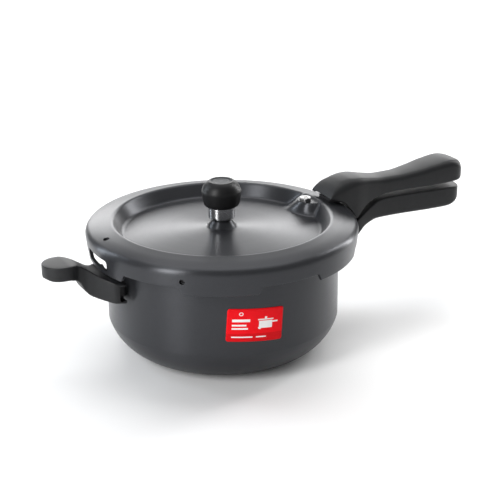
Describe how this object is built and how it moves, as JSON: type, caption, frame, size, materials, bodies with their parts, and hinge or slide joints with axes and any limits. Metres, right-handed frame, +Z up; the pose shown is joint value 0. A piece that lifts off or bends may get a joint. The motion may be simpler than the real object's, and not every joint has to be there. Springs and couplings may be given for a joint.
{
  "type": "stovetop pressure cooker",
  "caption": "Low, wide outer-lid pressure pan: bayonet lid with a sunk panel, pressure weight and safety plug, two long handles one above the other and a short helper handle.",
  "frame": {"origin": "centre of the pan's flat base, on the surface it stands on", "axes": "+Z up, +X along the long handles, away from the pan"},
  "size_m": [0.4075, 0.2354, 0.15],
  "materials": {
    "anodised_shell": "hard-anodised aluminium, satin charcoal",
    "handle_plastic": "moulded phenolic, fine satin",
    "cap_plastic": "moulded phenolic, satin black",
    "weight_chrome": "polished plated metal",
    "steel": "plain bright steel",
    "blackened_steel": "pressed steel, blackened",
    "tube_metal": "turned stainless steel",
    "plug_metal": "bright turned metal",
    "fusible": "dull soft alloy",
    "gasket_rubber": "black food-grade rubber",
    "label_film": "printed glossy film"
  },
  "bodies": {
    "pan": {"pan_body": "anodised_shell", "pan_handle": "handle_plastic", "pan_handle_bracket": "blackened_steel", "pan_handle_screw": "steel", "pan_handle_rivet_1": "blackened_steel", "pan_handle_rivet_2": "blackened_steel", "helper_handle": "handle_plastic", "helper_handle_bracket": "blackened_steel", "helper_handle_screw": "steel", "helper_handle_rivet_1": "blackened_steel", "helper_handle_rivet_2": "blackened_steel", "front_label": "label_film"},
    "gasket": {"gasket": "gasket_rubber"},
    "lid": {"lid_shell": "anodised_shell", "lid_handle": "handle_plastic", "lid_handle_bracket": "blackened_steel", "lid_handle_screw": "steel", "lid_handle_rivet_1": "blackened_steel", "lid_handle_rivet_2": "blackened_steel", "safety_plug": "plug_metal", "safety_plug_core": "fusible", "safety_plug_nut": "steel", "vent_tube": "tube_metal", "vent_washer": "steel", "vent_nut": "steel"},
    "weight_clip": {"weight_clip": "steel"},
    "weight": {"weight_body": "weight_chrome", "weight_cap": "cap_plastic", "weight_needle": "steel"}
  },
  "joints": [
    {"name": "lid_lift", "type": "slide", "parent": "pan", "child": "gasket", "axis": [0, 0, 1], "range_m": [0, 0.12]},
    {"name": "lid_turn", "type": "hinge", "parent": "gasket", "child": "lid", "pos_m": [0, 0, 0.105], "axis": [0, 0, 1], "range_deg": [0, 30]},
    {"name": "weight_lift", "type": "slide", "parent": "lid", "child": "weight_clip", "axis": [0, 0, 1], "range_m": [0, 0.03]},
    {"name": "weight_spin", "type": "hinge", "parent": "weight_clip", "child": "weight", "pos_m": [0, 0, 0.12], "axis": [0, 0, 1], "continuous": true}
  ]
}
